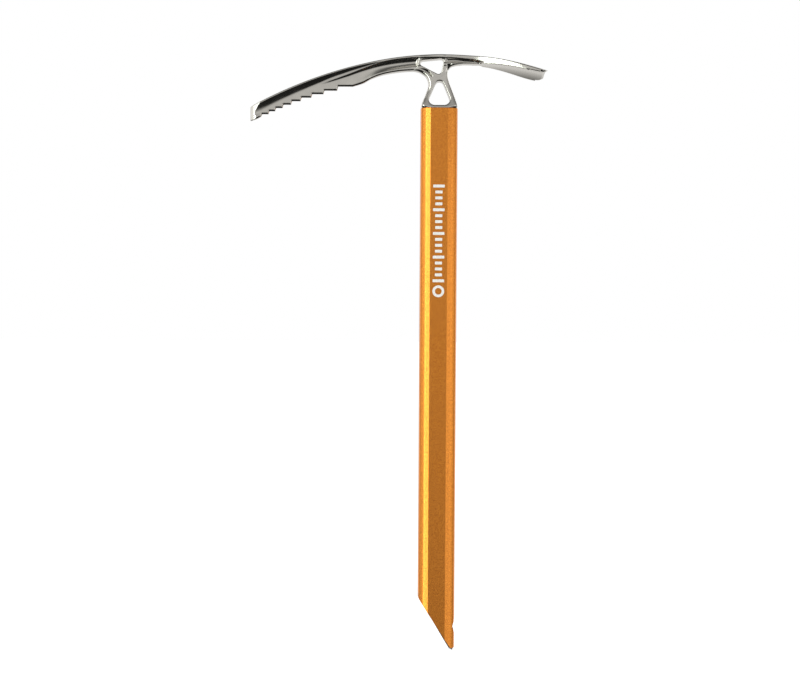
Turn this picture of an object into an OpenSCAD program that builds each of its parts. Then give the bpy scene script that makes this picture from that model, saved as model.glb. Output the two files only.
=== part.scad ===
// Ice axe for glacier travel and general mountaineering.
// A one-piece cast head, an oval aluminium shaft cut off at a slant, and a steel spike insert.
//
// +Z runs up the shaft, -X is the pick side, +X the adze side, and Y runs across the blade.
// The origin is on the shaft's axis, at the centre of the largest round bar that the head's eye
// lets through.

/* [Shaft] */
// Overall height, from the crest of the head to the tip of the spike
overall_h = 548.5; // [450:0.5:700]
// Width of the shaft in the plane of the pick
shaft_w = 34.3; // [33:0.1:36]
// Thickness of the shaft across its two broad flats
shaft_t = 20.4; // [20:0.2:22]
// Width of each broad flat
flat_w = 15; // [13:0.5:17]
// Wall thickness of the tube
wall = 1.3; // [1.1:0.1:1.6]
// Angle between the shaft's axis and its slanted lower end
cut_angle = 33; // [30:0.5:38]

/* [Spike] */
// Sheet thickness of the spike insert
spike_sheet = 1.8; // [1.4:0.1:2.2]
// Height of the spike insert above its tip
spike_h = 74; // [66:1:90]
// How far the insert's tip reaches below the end of the tube
spike_proud = 2.3; // [1.5:0.1:4]
// Diameter of the leash hole through the back of the shaft
leash_d = 14.2; // [10:0.2:14.4]
// Height of the leash hole's centre above the tip of the spike
leash_rise = 21.8; // [21:0.2:26]

/* [Head] */
// Length of the pick, from the shaft's axis to its end face
pick_reach = 173.5; // [160:0.5:180]
// Length of the adze, from the shaft's axis to its cutting edge
adze_reach = 97.3; // [90:0.5:100]
// Width of the adze
adze_w = 50; // [44:1:60]
// Radius of the adze's two corners
adze_corner_r = 7; // [2:0.5:8]
// Number of teeth under the pick, behind its beak
teeth = 8; // [6:1:8]
// Thickness of the head above its eye
neck_t = 11.6; // [11:0.2:13]
// Length of the tang inside the tube
tang_h = 38; // [36:1:60]
// Diameter of the two pins that lock the head in the tube
pin_d = 4; // [3:0.5:5]

/* [Hidden] */
$fn = 64;

// Curve of the head: two tangent arcs, the flatter one towards the end of the pick
crest_x = 3.2;
crest_z = 39.4;
crest_r = 311;
pick_r = 405;
pick_arc_s = -65;

// Heights along the axis
tip_z = crest_z - overall_h;
tube_top = -10.1;
tube_end = tip_z + spike_proud;
leash_z = tip_z + leash_rise;
cut_z = tube_end - 5.8;
pin_z = tube_top - 20;
plug_h = 16;
rivet_z = tip_z + 52;
rivet_pitch = 12;

// Fits inside the tube
bond_t = 0.25;
fit_gap = 0.05;
tang_wall = 1.6;
corner_r = 4;
rivet_d = 3.2;
rivet_head_d = 5.6;
rivet_head_h = 0.8;

// Colours
steel = [0.78, 0.77, 0.74];
dark_steel = [0.38, 0.38, 0.39];
orange = [0.85, 0.46, 0.08];
epoxy = [0.55, 0.5, 0.4];
foam = [0.16, 0.16, 0.17];

// --- Curves -----------------------------------------------------------------------------

function unit(v) = v / norm(v);
function clamp(i, high) = max(0, min(high, i));

// Slope of a list of rows at row i, where each row's first value is its place along the curve
function slope(rows, i) =
    let (a = clamp(i - 1, len(rows) - 1), b = clamp(i + 1, len(rows) - 1))
    (rows[b] - rows[a]) / (rows[b][0] - rows[a][0]);

// Row of values at place s, on a smooth curve through the rows
function blend(rows, s) =
    let (
        i = max([for (k = [0 : len(rows) - 2]) if (k == 0 || rows[k][0] <= s) k]),
        gap = rows[i + 1][0] - rows[i][0],
        t = (s - rows[i][0]) / gap,
        u = 1 - t
    )
    rows[i] * (1 + 2 * t) * u * u
    + slope(rows, i) * gap * t * u * u
    + rows[i + 1] * (3 - 2 * t) * t * t
    - slope(rows, i + 1) * gap * t * t * u;

// A smooth line through a few points, as a list of points
function smooth_line(points, steps = 6) =
    let (
        last = len(points) - 1,
        rows = [for (i = [0 : last]) [i, points[i][0], points[i][1]]]
    )
    [for (k = [0 : last * steps]) let (r = blend(rows, k / steps)) [r[1], r[2]]];

// Points of the arc that rounds the corner at b, where a and c are its neighbours
function corner_arc(a, b, c, r, steps = 8) =
    let (
        u = unit(a - b),
        v = unit(c - b),
        half = acos(u * v) / 2,
        centre = b + unit(u + v) * r / sin(half),
        from = b + u * r / tan(half) - centre,
        to = b + v * r / tan(half) - centre,
        start = atan2(from[1], from[0]),
        turn = atan2(to[1], to[0]) - start,
        sweep = turn > 180 ? turn - 360 : turn < -180 ? turn + 360 : turn
    )
    [for (k = [0 : steps]) centre + r * [cos(start + sweep * k / steps), sin(start + sweep * k / steps)]];

// A polygon whose corners are rounded, each to its own radius
function rounded(points, radii) =
    let (n = len(points))
    [for (i = [0 : n - 1]) each corner_arc(points[(i + n - 1) % n], points[i], points[(i + 1) % n], radii[i])];

// Point of the head's side view: s along the crest line, positive to the adze, and depth d below it
function crest_angle(s) =
    s > pick_arc_s ? s / crest_r * 180 / PI
    : (pick_arc_s / crest_r + (s - pick_arc_s) / pick_r) * 180 / PI;
function crest_point(s, d) =
    let (
        a = crest_angle(s),
        joint = pick_arc_s / crest_r * 180 / PI,
        centre = [crest_x, crest_z - crest_r],
        shift = s > pick_arc_s ? [0, 0] : (crest_r - pick_r) * [sin(joint), cos(joint)],
        r = s > pick_arc_s ? crest_r : pick_r
    )
    centre + shift + (r - d) * [sin(a), cos(a)];

// Place along the crest line whose point at depth d lies x to the side
function crest_place(x, d = 0, low = -210, high = 110, rounds = 30) =
    rounds == 0 ? (low + high) / 2
    : let (mid = (low + high) / 2)
      crest_point(mid, d)[0] < x ? crest_place(x, d, mid, high, rounds - 1)
      : crest_place(x, d, low, mid, rounds - 1);

// --- Shaft section ----------------------------------------------------------------------

// Outline of the shaft, moved inwards by inset: two flats, four sloping facets and two rounded edges
module shaft_outline(inset = 0) {
    half = [[flat_w / 2, shaft_t / 2], [shaft_w / 2 - 0.9, shaft_t * 0.325], [shaft_w / 2, 0]];
    quarter_back = [for (i = [2 : -1 : 0]) half[i]];
    quarter_front = [for (p = half) [-p[0], p[1]]];
    upper = concat(quarter_back, quarter_front);
    lower = [for (i = [len(upper) - 2 : -1 : 1]) [upper[i][0], -upper[i][1]]];
    offset(r = corner_r - inset) offset(delta = -corner_r) polygon(concat(upper, lower));
}

module shaft_prism(z0, z1, inset = 0) {
    translate([0, 0, z0]) linear_extrude(z1 - z0) shaft_outline(inset);
}

// Everything on the open side of a cut through the point x, z, at this angle to the shaft's axis
module beyond_cut(angle, x, z) {
    translate([x, 0, z]) rotate([0, angle, 0]) translate([-200, -50, -150]) cube([200, 100, 300]);
}

// A profile drawn in the X-Z plane, t thick and centred on Y = 0
module side_plate(t) {
    translate([0, t / 2, 0]) rotate([90, 0, 0]) linear_extrude(t) children();
}

// --- Head -------------------------------------------------------------------------------

// A stretch of the head between the places s0 and s1 along the crest: the section drawn by the
// children, as height above the arc's centre and distance to the side, turned about that centre
module sweep_along(s0, s1, r) {
    turn = 180 / PI;
    centre = crest_point(r == pick_r ? min(s1, pick_arc_s) : s1, r);
    a0 = r == pick_r ? crest_angle(s0) : crest_angle(s1) - (s1 - s0) / r * turn;
    a1 = r == pick_r ? crest_angle(pick_arc_s) + (s1 - pick_arc_s) / r * turn : crest_angle(s1);
    translate([centre[0], 0, centre[1]]) rotate([90, 0, 0]) rotate([0, 0, 90 - a1])
        rotate_extrude(angle = a1 - a0, $fn = 360) children();
}

// How far the top of the head falls away at distance y from its middle
crown_r = 80;
function fall(y) = y * y / (2 * crown_r);

// Section under a crowned top, from the middle's depth 0 down to depth d and w to each side
module crowned_section(r, w, d, steps = 8) {
    polygon(concat(
        [for (k = [-steps : steps]) let (y = w * k / steps) [r - fall(y), y]],
        [[r - d, w], [r - d, -w]]
    ));
}

// The two arcs overlap by a little, and the flatter one lies a hair lower there
arc_lap = 1;
seam = 0.05;
pick_far_s = -215;
adze_far_s = 112;
block_d = 30;
module crowned_block() {
    sweep_along(pick_far_s, pick_arc_s + arc_lap, pick_r) crowned_section(pick_r - seam, 40, block_d);
    sweep_along(pick_arc_s, adze_far_s, crest_r) crowned_section(crest_r, 40, block_d);
}

// Grooves along both sides, between the flange on top and the rib below: half width of the web,
// depths where the groove is deepest, and depth where it has run out again
web_half = 2;
groove_d = 6;
rib_d = 8.6;
rib_edge = 11;
groove_end_s = -9;
groove_side = 12;
module groove_section(r, half) {
    slant = groove_side - half;
    polygon([
        [r - groove_d, half],
        [r - groove_d + slant * 1.3, groove_side],
        [r - rib_edge - slant, groove_side],
        [r - rib_d, half],
    ]);
}

// Below the groove, all that stands proud of the blade, which is a hair thinner than the web there
blade_half = web_half - 2 * seam;
module relief_section(r) {
    polygon([
        [r - groove_d - 1, blade_half], [r - groove_d - 1, groove_side],
        [r - block_d - 5, groove_side], [r - block_d - 5, blade_half],
    ]);
}

module grooves() {
    for (side = [0, 1]) mirror([0, side, 0]) {
        sweep_along(pick_far_s, pick_arc_s + arc_lap, pick_r) groove_section(pick_r - seam, web_half - seam);
        sweep_along(pick_arc_s, groove_end_s, crest_r) groove_section(crest_r, web_half);
        difference() {
            union() {
                sweep_along(pick_far_s, pick_arc_s + 2 * arc_lap, pick_r) relief_section(pick_r - seam);
                sweep_along(pick_arc_s - arc_lap, groove_end_s - arc_lap, crest_r) relief_section(crest_r);
            }
            rib_plan();
        }
    }
}

// Outline of the head seen from above: the chisel end, the slim pick, the waist and the flared adze
module plan_prism() {
    chisel = [[-pick_reach, 0.4], [-pick_reach + 8, 2.9]];
    spread = adze_w / 2;
    flare = smooth_line([
        [-120, 4.1], [-60, 4.9], [0, 5.6], [26, 5.3], [44, 9.5], [56, 17.5], [68, spread - 1.8], [80, spread],
        [adze_reach - 9, spread],
    ]);
    edge = corner_arc([adze_reach - 9, spread], [adze_reach, spread], [adze_reach, 0], adze_corner_r);
    side = concat(chisel, flare, edge);
    other = [for (i = [len(side) - 1 : -1 : 0]) [side[i][0], -side[i][1]]];
    translate([0, 0, -60]) linear_extrude(140) polygon(concat(side, other));
}

// The rib along the pick's lower edge, seen from above: it swells towards the neck
module rib_plan() {
    side = smooth_line([[-112, web_half - 0.6], [-82, web_half + 0.4], [-62, 3.6], [-40, 4.8], [-5, 5.2]]);
    other = [for (i = [len(side) - 1 : -1 : 0]) [side[i][0], -side[i][1]]];
    translate([0, 0, -60]) linear_extrude(140) polygon(concat(side, other));
}

// Depth of the pick's lower edge at the tips of the teeth
pick_depths = [[-200, 12.4], [-175, 13.4], [-135, 15.3], [-98, 17.6], [-80, 17.7]];
function pick_depth(s) = blend(pick_depths, s)[1];

// Tips of the teeth: the pitch shrinks by the same ratio from one to the next
first_tip = -79.4;
first_pitch = 14.2;
pitch_ratio = 0.886;
tooth_lean = 1;
// Lower edge of the beak, measured from the last tooth's tip
beak = [[-33, -7], [-16.8, -6.6], [-10.2, -4.1], [-6.8, -2.3], [-5.6, 0]];
function tip_x(i) = first_tip - first_pitch * (1 - pow(pitch_ratio, i)) / (1 - pitch_ratio);
function tip_point(i) =
    let (s = crest_place(tip_x(i), pick_depth(crest_place(tip_x(i)))))
    crest_point(s, pick_depth(s));

// Everything above the head's lower edge in side view. From each tip the edge runs level towards
// the end of the pick, and then a short steep step leads down to the next tip. Behind the teeth it
// rises over the heel and runs along the beam into the neck.
module above_lower_edge() {
    tips = [for (i = [teeth : -1 : 0]) tip_point(i)];
    saw = [
        for (i = [0 : teeth - 1])
            each [tips[i], [tips[i][0] + tooth_lean, tips[i + 1][1]]]
    ];
    heel = smooth_line([tips[teeth], [-70, 13], [-62, 17.3], [-51, 21.1], [-36, 23.7], [-19, 24.8]], 4);
    end = [for (p = beak) tips[0] + p];
    side_plate(80) polygon(concat(
        [[-190, 60]], end, saw, heel, [[4, 28], [12, 28.6], [24, 20], [120, -20], [120, 60]]
    ));
}

// The adze is hollowed from below, by an arc through three depths, so that it thins to its edge
adze_depths = [[8, 8.6], [50, 5.4], [94, 2.2]];
module adze_hollow() {
    p = [for (a = adze_depths) crest_point(a[0], a[1])];
    m1 = (p[0] + p[1]) / 2;
    m2 = (p[1] + p[2]) / 2;
    u1 = p[1] - p[0];
    u2 = p[2] - p[1];
    det = u1[0] * u2[1] - u1[1] * u2[0];
    centre = [u2[1] * (u1 * m1) - u1[1] * (u2 * m2), u1[0] * (u2 * m2) - u2[0] * (u1 * m1)] / det;
    r = norm(p[0] - centre);
    start = atan2(p[0][0] - centre[0], p[0][1] - centre[1]);
    translate([centre[0], 0, centre[1]]) rotate([90, 0, 0]) rotate([0, 0, 90 - start - 30])
        rotate_extrude(angle = 30, $fn = 360) crowned_section(r, 40, 30);
}

module blade_body() {
    difference() {
        intersection() {
            crowned_block();
            plan_prism();
            above_lower_edge();
        }
        adze_hollow();
        grooves();
    }
}

// The eye above the collar, which takes a carabiner, and the smaller window above it
eye_corners = [[-12.4, -7.3], [12.2, -7.3], [0.2, 21]];
window_corners = [[-24.8, 32.9], [4.6, 35.8], [0.9, 20]];
module windows() {
    side_plate(40) polygon(rounded(eye_corners, [5.2, 5.2, 4]));
    side_plate(40) polygon(rounded(window_corners, [2.8, 2.8, 2.8]));
}

// The neck in side view: two legs that run in from the collar and out again under the blade
module neck_side() {
    left = smooth_line([[-17.2, tube_top], [-15.6, -4.5], [-12.9, 2], [-10.2, 11.5], [-12.8, 19.4], [-22, 25.2]]);
    right = smooth_line([[20, 31.4], [9.8, 27.6], [7.6, 19], [13.3, 2.5], [15.9, -5], [17, tube_top]]);
    side_plate(60) polygon(concat(left, [[-19, 33], [14, 33]], right));
}

// The neck in front view: as thick as the shaft at the collar, and thinner above
module neck_front() {
    collar = shaft_t / 2 - 0.3;
    top = neck_t / 2;
    half = smooth_line([[collar, tube_top], [collar - 0.8, -7.5], [top + 1.2, 0], [top, 10], [top - 0.6, 34]]);
    other = [for (i = [len(half) - 1 : -1 : 0]) [-half[i][0], half[i][1]]];
    rotate([90, 0, 90]) translate([0, 0, -50]) linear_extrude(100) polygon(concat(half, other));
}

module tang() {
    difference() {
        shaft_prism(tube_top - tang_h, tube_top + 1, wall + bond_t);
        shaft_prism(tube_top - tang_h - 1, tube_top - 1.5, wall + bond_t + tang_wall);
    }
}

module pin_holes(d) {
    translate([-40, 0, pin_z]) rotate([0, 90, 0]) cylinder(d = d, h = 80);
}

module head() {
    color(steel) difference() {
        union() {
            blade_body();
            intersection() {
                neck_side();
                neck_front();
                shaft_prism(tube_top, crest_z);
            }
            tang();
        }
        windows();
        pin_holes(pin_d);
    }
}

module head_bond() {
    color(epoxy) difference() {
        shaft_prism(tube_top - tang_h, tube_top, wall);
        shaft_prism(tube_top - tang_h - 1, tube_top + 1, wall + bond_t);
        pin_holes(pin_d);
    }
}

// Two pins, one through each narrow side, ground flush with the tube
module head_pins() {
    color(steel) intersection() {
        difference() {
            pin_holes(pin_d);
            shaft_prism(pin_z - 10, pin_z + 10, wall + bond_t + tang_wall + 1);
        }
        shaft_prism(pin_z - 10, pin_z + 10);
    }
}

// --- Shaft ------------------------------------------------------------------------------

module leash_bore() {
    translate([5, 0, leash_z]) rotate([0, 90, 0]) cylinder(d = leash_d, h = 30);
}

module rivet_holes() {
    for (k = [0, 1])
        translate([5, 0, rivet_z + k * rivet_pitch]) rotate([0, 90, 0]) cylinder(d = rivet_d, h = 30);
}

module shaft_tube() {
    color(orange) difference() {
        shaft_prism(tube_end, tube_top);
        shaft_prism(tube_end - 1, tube_top + 1, wall);
        beyond_cut(-cut_angle, shaft_w / 2, cut_z);
        pin_holes(pin_d);
        leash_bore();
        rivet_holes();
    }
}

module shaft_plug() {
    base = cut_z + shaft_w / tan(cut_angle) + 8;
    color(foam) shaft_prism(base, base + plug_h, wall + fit_gap);
}

// --- Spike ------------------------------------------------------------------------------

// The sheet is cut a little steeper than the tube, so that its ground edge stands further out of the
// tube towards the point, and is cut back again at the point itself
spike_front = -6;
spike_turn = 2.3;
spike_edge = 2.65;
point_angle = 56;
point_edge = 0.6;
module spike_insert() {
    color(dark_steel) difference() {
        shaft_prism(tip_z, tip_z + spike_h, wall + fit_gap);
        shaft_prism(tip_z - 1, tip_z + spike_h + 1, wall + fit_gap + spike_sheet);
        translate([spike_front - 40, -30, tip_z - 1]) cube([40, 60, spike_h + 2]);
        beyond_cut(-cut_angle + spike_turn, shaft_w / 2 - wall - spike_edge, tip_z);
        beyond_cut(-point_angle, shaft_w / 2 - wall - point_edge, tip_z);
        leash_bore();
        rivet_holes();
    }
}

module spike_rivets() {
    inner = shaft_w / 2 - wall - fit_gap - spike_sheet;
    color(steel) for (k = [0, 1]) translate([0, 0, rivet_z + k * rivet_pitch]) {
        intersection() {
            rotate([0, 90, 0]) cylinder(d = rivet_d, h = 30);
            shaft_prism(-10, 10);
            translate([inner - 1, -10, -10]) cube([30, 20, 20]);
        }
        translate([inner - rivet_head_h, 0, 0]) rotate([0, 90, 0]) cylinder(d = rivet_head_d, h = rivet_head_h);
    }
}

head();
shaft_tube();
head_bond();
head_pins();
shaft_plug();
spike_insert();
spike_rivets();
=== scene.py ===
import math

import bmesh
import bpy
import numpy as np
from mathutils import Matrix, Vector


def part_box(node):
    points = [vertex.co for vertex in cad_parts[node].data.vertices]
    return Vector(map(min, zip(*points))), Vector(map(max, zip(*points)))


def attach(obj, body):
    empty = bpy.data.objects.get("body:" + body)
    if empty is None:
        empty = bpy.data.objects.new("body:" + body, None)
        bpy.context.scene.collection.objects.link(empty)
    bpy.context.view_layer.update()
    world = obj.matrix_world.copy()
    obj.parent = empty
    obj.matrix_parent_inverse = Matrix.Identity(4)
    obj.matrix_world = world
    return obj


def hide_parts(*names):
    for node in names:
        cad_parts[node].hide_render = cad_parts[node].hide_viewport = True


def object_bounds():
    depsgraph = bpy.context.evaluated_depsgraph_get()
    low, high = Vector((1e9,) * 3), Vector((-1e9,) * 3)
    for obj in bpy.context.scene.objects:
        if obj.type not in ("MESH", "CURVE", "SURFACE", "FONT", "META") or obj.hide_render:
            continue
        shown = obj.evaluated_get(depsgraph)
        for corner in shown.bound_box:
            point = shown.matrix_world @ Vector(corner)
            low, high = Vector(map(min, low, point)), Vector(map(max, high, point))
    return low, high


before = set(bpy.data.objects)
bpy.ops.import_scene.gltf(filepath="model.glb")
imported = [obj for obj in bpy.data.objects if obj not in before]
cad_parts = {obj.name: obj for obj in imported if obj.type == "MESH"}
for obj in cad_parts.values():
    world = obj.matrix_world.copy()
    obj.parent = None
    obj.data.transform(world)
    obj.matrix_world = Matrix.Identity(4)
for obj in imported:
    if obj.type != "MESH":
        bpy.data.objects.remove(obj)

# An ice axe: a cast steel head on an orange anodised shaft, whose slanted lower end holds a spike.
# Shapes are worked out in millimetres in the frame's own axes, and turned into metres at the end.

CAD_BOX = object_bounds()
MM = 0.001


def box_mm(node):
    """Lowest and highest corner of a CAD node, in millimetres."""
    low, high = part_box(node)
    return np.array(low) / MM, np.array(high) / MM


HEAD_LOW, HEAD_HIGH = box_mm("head")
TUBE_LOW, TUBE_HIGH = box_mm("shaft_tube")
SPIKE_LOW, SPIKE_HIGH = box_mm("spike_insert")
PLUG_LOW, PLUG_HIGH = box_mm("shaft_plug")
PIN_LOW, PIN_HIGH = box_mm("head_pins")
PIN_Z = (PIN_LOW[2] + PIN_HIGH[2]) / 2
PIN_R = (PIN_HIGH[2] - PIN_LOW[2]) / 2

# --- Small tools ------------------------------------------------------------------------


def unit(v):
    return v / np.linalg.norm(v)


def smooth_rows(rows, s):
    """Values at the places s on a smooth curve through rows, whose first column is the place."""
    rows = np.array(rows, float)
    place = rows[:, 0]
    last = len(rows) - 1
    slope = np.array([
        (rows[min(i + 1, last)] - rows[max(i - 1, 0)])
        / (place[min(i + 1, last)] - place[max(i - 1, 0)])
        for i in range(last + 1)
    ])
    s = np.clip(s, place[0], place[-1])
    i = np.clip(np.searchsorted(place, s, side="right") - 1, 0, last - 1)
    gap = (place[i + 1] - place[i])[..., None]
    t = (s - place[i])[..., None] / gap
    u = 1 - t
    return (
        rows[i] * (1 + 2 * t) * u * u
        + slope[i] * gap * t * u * u
        + rows[i + 1] * (3 - 2 * t) * t * t
        - slope[i + 1] * gap * t * t * u
    )


def smooth_line(points, steps=6):
    """A smooth line through a few points of a plane."""
    rows = [[i, *p] for i, p in enumerate(points)]
    places = np.linspace(0, len(points) - 1, (len(points) - 1) * steps + 1)
    return smooth_rows(rows, places)[:, 1:]


def rounded(points, radii, steps=8):
    """Outline of a polygon whose corners are rounded, each to its own radius."""
    points = [np.array(p, float) for p in points]
    out = []
    for i, (b, r) in enumerate(zip(points, radii)):
        u = unit(points[i - 1] - b)
        v = unit(points[(i + 1) % len(points)] - b)
        half = math.acos(np.clip(u @ v, -1, 1)) / 2
        centre = b + unit(u + v) * r / math.sin(half)
        start = b + u * r / math.tan(half) - centre
        end = b + v * r / math.tan(half) - centre
        a = math.atan2(start[1], start[0])
        turn = (math.atan2(end[1], end[0]) - a + math.pi) % (2 * math.pi) - math.pi
        for k in range(steps + 1):
            w = a + turn * k / steps
            out.append(centre + r * np.array([math.cos(w), math.sin(w)]))
    return np.array(out)


def outline_distance(x, z, outline):
    """Signed distance from points to a closed outline: negative inside it."""
    nearest = np.full(np.broadcast(x, z).shape, 1e9)
    inside = np.zeros(nearest.shape, bool)
    for a, b in zip(outline, np.roll(outline, -1, axis=0)):
        e = b - a
        size = e @ e
        if size < 1e-12:
            continue
        px, pz = x - a[0], z - a[1]
        t = np.clip((px * e[0] + pz * e[1]) / size, 0, 1)
        nearest = np.minimum(nearest, (px - t * e[0]) ** 2 + (pz - t * e[1]) ** 2)
        if a[1] != b[1]:
            crosses = (a[1] > z) != (b[1] > z)
            inside ^= crosses & (x < a[0] + (z - a[1]) * e[0] / e[1])
    return np.where(inside, -1, 1) * np.sqrt(nearest)


def soft_max(a, b, k):
    """The larger of two fields, with the edge between them rounded over a width k."""
    h = np.clip(0.5 + 0.5 * (a - b) / k, 0, 1)
    return b + (a - b) * h + k * h * (1 - h)


def soft_min(a, b, k):
    """The smaller of two fields, with the corner between them filled over a width k."""
    return -soft_max(-a, -b, k)


def fade(value, start, length):
    """0 up to the start, 1 from a length further on, and a straight slope between."""
    return np.clip((value - start) / length, 0, 1)


def rectangle(x0, x1, y0, y1):
    return np.array([(x0, y0), (x1, y0), (x1, y1), (x0, y1)])


def surface_net(field, origin, step):
    """Vertices and quads of the surface where a field on a grid changes sign."""
    inside = field < 0
    corner = [(i, j, k) for i in (0, 1) for j in (0, 1) for k in (0, 1)]
    size = np.array(field.shape) - 1

    def shifted(values, c):
        return values[c[0]:c[0] + size[0], c[1]:c[1] + size[1], c[2]:c[2] + size[2]]

    count = sum(shifted(inside, c).astype(np.int8) for c in corner)
    cell = np.argwhere((count > 0) & (count < 8))
    flat = np.ravel_multi_index(cell.T, size)
    value = np.stack([shifted(field, c)[tuple(cell.T)] for c in corner], 1)
    place = np.zeros((len(cell), 3))
    hits = np.zeros(len(cell))
    for i, a in enumerate(corner):
        for j, b in enumerate(corner):
            if j <= i or sum(abs(p - q) for p, q in zip(a, b)) != 1:
                continue
            va, vb = value[:, i], value[:, j]
            crossed = (va < 0) != (vb < 0)
            t = np.where(crossed, va / np.where(crossed, va - vb, 1), 0)
            where = np.array(a) + t[:, None] * (np.array(b) - np.array(a))
            place += np.where(crossed[:, None], where, 0)
            hits += crossed
    points = (cell + place / hits[:, None]) * step + origin
    quads = []
    for axis in range(3):
        u, v = (axis + 1) % 3, (axis + 2) % 3
        here = [slice(None)] * 3
        there = [slice(None)] * 3
        here[axis] = slice(0, -1)
        there[axis] = slice(1, None)
        edge = np.argwhere(inside[tuple(here)] != inside[tuple(there)])
        outwards = inside[tuple(edge.T)]
        ring = []
        for du, dv in ((0, 0), (-1, 0), (-1, -1), (0, -1)):
            c = edge.copy()
            c[:, u] += du
            c[:, v] += dv
            ring.append(np.searchsorted(flat, np.ravel_multi_index(c.T, size)))
        quad = np.stack(ring, 1)
        quad[~outwards] = quad[~outwards][:, ::-1]
        quads.append(quad)
    return points, np.concatenate(quads)


def relaxed(points, quads, rounds, share):
    """Points moved towards the middle of their neighbours, which evens out a grid's stairs."""
    a = np.concatenate([quads[:, i] for i in range(4)])
    b = np.concatenate([quads[:, (i + 1) % 4] for i in range(4)])
    count = np.bincount(a, minlength=len(points)) + np.bincount(b, minlength=len(points))
    for _ in range(rounds):
        middle = np.zeros_like(points)
        for k in range(3):
            middle[:, k] = np.bincount(a, points[b, k], len(points))
            middle[:, k] += np.bincount(b, points[a, k], len(points))
        points = points + share * (middle / count[:, None] - points)
    return points


def link(name, mesh):
    piece = bpy.data.objects.new(name, mesh)
    bpy.context.scene.collection.objects.link(piece)
    return piece


def piece_from(name, points, faces):
    """A smoothly shaded Blender object from points in millimetres."""
    mesh = bpy.data.meshes.new(name)
    mesh.from_pydata((np.asarray(points) * MM).tolist(), [], [list(map(int, f)) for f in faces])
    mesh.validate()
    mesh.shade_smooth()
    return link(name, mesh)


def modified(piece, kind, **settings):
    """Adds one modifier and applies it."""
    modifier = piece.modifiers.new(kind.lower(), kind)
    for key, value in settings.items():
        setattr(modifier, key, value)
    graph = bpy.context.evaluated_depsgraph_get()
    mesh = bpy.data.meshes.new_from_object(piece.evaluated_get(graph))
    piece.modifiers.clear()
    piece.data = mesh
    return piece


def cut(piece, cutter):
    """Takes the cutter's shape out of a piece, and drops the cutter."""
    modified(piece, "BOOLEAN", operation="DIFFERENCE", object=cutter, solver="EXACT")
    bpy.data.objects.remove(cutter)


def finish_edges(piece, width, angle=40, segments=2):
    """Breaks the sharp edges of a piece by a small width, in millimetres, and shades it smooth."""
    modified(
        piece, "BEVEL", width=width * MM, segments=segments, limit_method="ANGLE",
        angle_limit=math.radians(angle), harden_normals=False,
    )
    piece.data.shade_smooth()
    modified(piece, "WEIGHTED_NORMAL", keep_sharp=True, weight=80)


# --- Curve of the head ------------------------------------------------------------------

# Two tangent arcs, the flatter one towards the end of the pick
CREST_X = 3.2
CREST_R = 311
PICK_R = 405
PICK_ARC_S = -65
CREST_Z = HEAD_HIGH[2]
JOINT = PICK_ARC_S / CREST_R
CREST_CENTRE = np.array([CREST_X, CREST_Z - CREST_R])
PICK_CENTRE = CREST_CENTRE + (CREST_R - PICK_R) * np.array([math.sin(JOINT), math.cos(JOINT)])


def crest_coords(x, z):
    """Place s along the crest line and depth d below it, for points in side view."""
    near = np.arctan2(x - CREST_CENTRE[0], z - CREST_CENTRE[1])
    far = np.arctan2(x - PICK_CENTRE[0], z - PICK_CENTRE[1])
    on_pick = near < JOINT
    s = np.where(on_pick, PICK_ARC_S + (far - JOINT) * PICK_R, near * CREST_R)
    reach_near = np.hypot(x - CREST_CENTRE[0], z - CREST_CENTRE[1])
    reach_far = np.hypot(x - PICK_CENTRE[0], z - PICK_CENTRE[1])
    return s, np.where(on_pick, PICK_R - reach_far, CREST_R - reach_near)


def crest_point(s, d):
    """The point of the side view at place s and depth d."""
    if s > PICK_ARC_S:
        a, centre, r = s / CREST_R, CREST_CENTRE, CREST_R
    else:
        a, centre, r = JOINT + (s - PICK_ARC_S) / PICK_R, PICK_CENTRE, PICK_R
    return centre + (r - d) * np.array([math.sin(a), math.cos(a)])


def crest_place(x, d):
    """Place along the crest whose point at depth d lies x to the side."""
    low, high = -210.0, 110.0
    for _ in range(30):
        middle = (low + high) / 2
        if crest_point(middle, d)[0] < x:
            low = middle
        else:
            high = middle
    return (low + high) / 2


# --- Head: outlines ---------------------------------------------------------------------

PICK_END = HEAD_LOW[0]
ADZE_END = HEAD_HIGH[0]
ADZE_HALF = 25
TEETH = 8
CROWN_R = 80


def crown(y):
    """How far the top of the head falls away at distance y from its middle."""
    return y * y / (2 * CROWN_R)


# Depth of the pick's lower edge at the tips of the teeth
PICK_DEPTHS = [(-200, 12.4), (-175, 13.4), (-135, 15.3), (-98, 17.6), (-80, 17.7)]
FIRST_TIP = -79.4
FIRST_PITCH = 14.2
PITCH_RATIO = 0.886
TOOTH_LEAN = 1
TOOTH_BEVEL = 1.1
# Lower edge of the beak, from the last tooth's tip
BEAK = [(-33, -7), (-16.8, -6.6), (-10.2, -4.1), (-6.8, -2.3), (-5.6, 0)]


def pick_depth(s):
    return float(smooth_rows(PICK_DEPTHS, np.array([s]))[0, 1])


def tip_point(i):
    """Tip of tooth i: the pitch shrinks by the same ratio from one to the next."""
    x = FIRST_TIP - FIRST_PITCH * (1 - PITCH_RATIO**i) / (1 - PITCH_RATIO)
    s = crest_place(x, pick_depth(crest_place(x, 0)))
    return crest_point(s, pick_depth(s))


def lower_edge():
    """Side view of all that lies above the head's lower edge: the teeth, the heel and the beam."""
    tips = [tip_point(i) for i in range(TEETH, -1, -1)]
    line = [(-190, 60)] + [tips[0] + np.array(p) for p in BEAK]
    for here, following in zip(tips, tips[1:]):
        line += [here, (here[0] + TOOTH_LEAN, following[1])]
    heel = [tips[-1], (-70, 13), (-62, 17.3), (-51, 21.1), (-36, 23.7), (-19, 24.8)]
    line += list(smooth_line(heel, 5))
    line += [(4, 28), (12, 28.6), (24, 20), (120, -20), (120, 60)]
    return np.array([np.array(p, float) for p in line])


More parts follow.
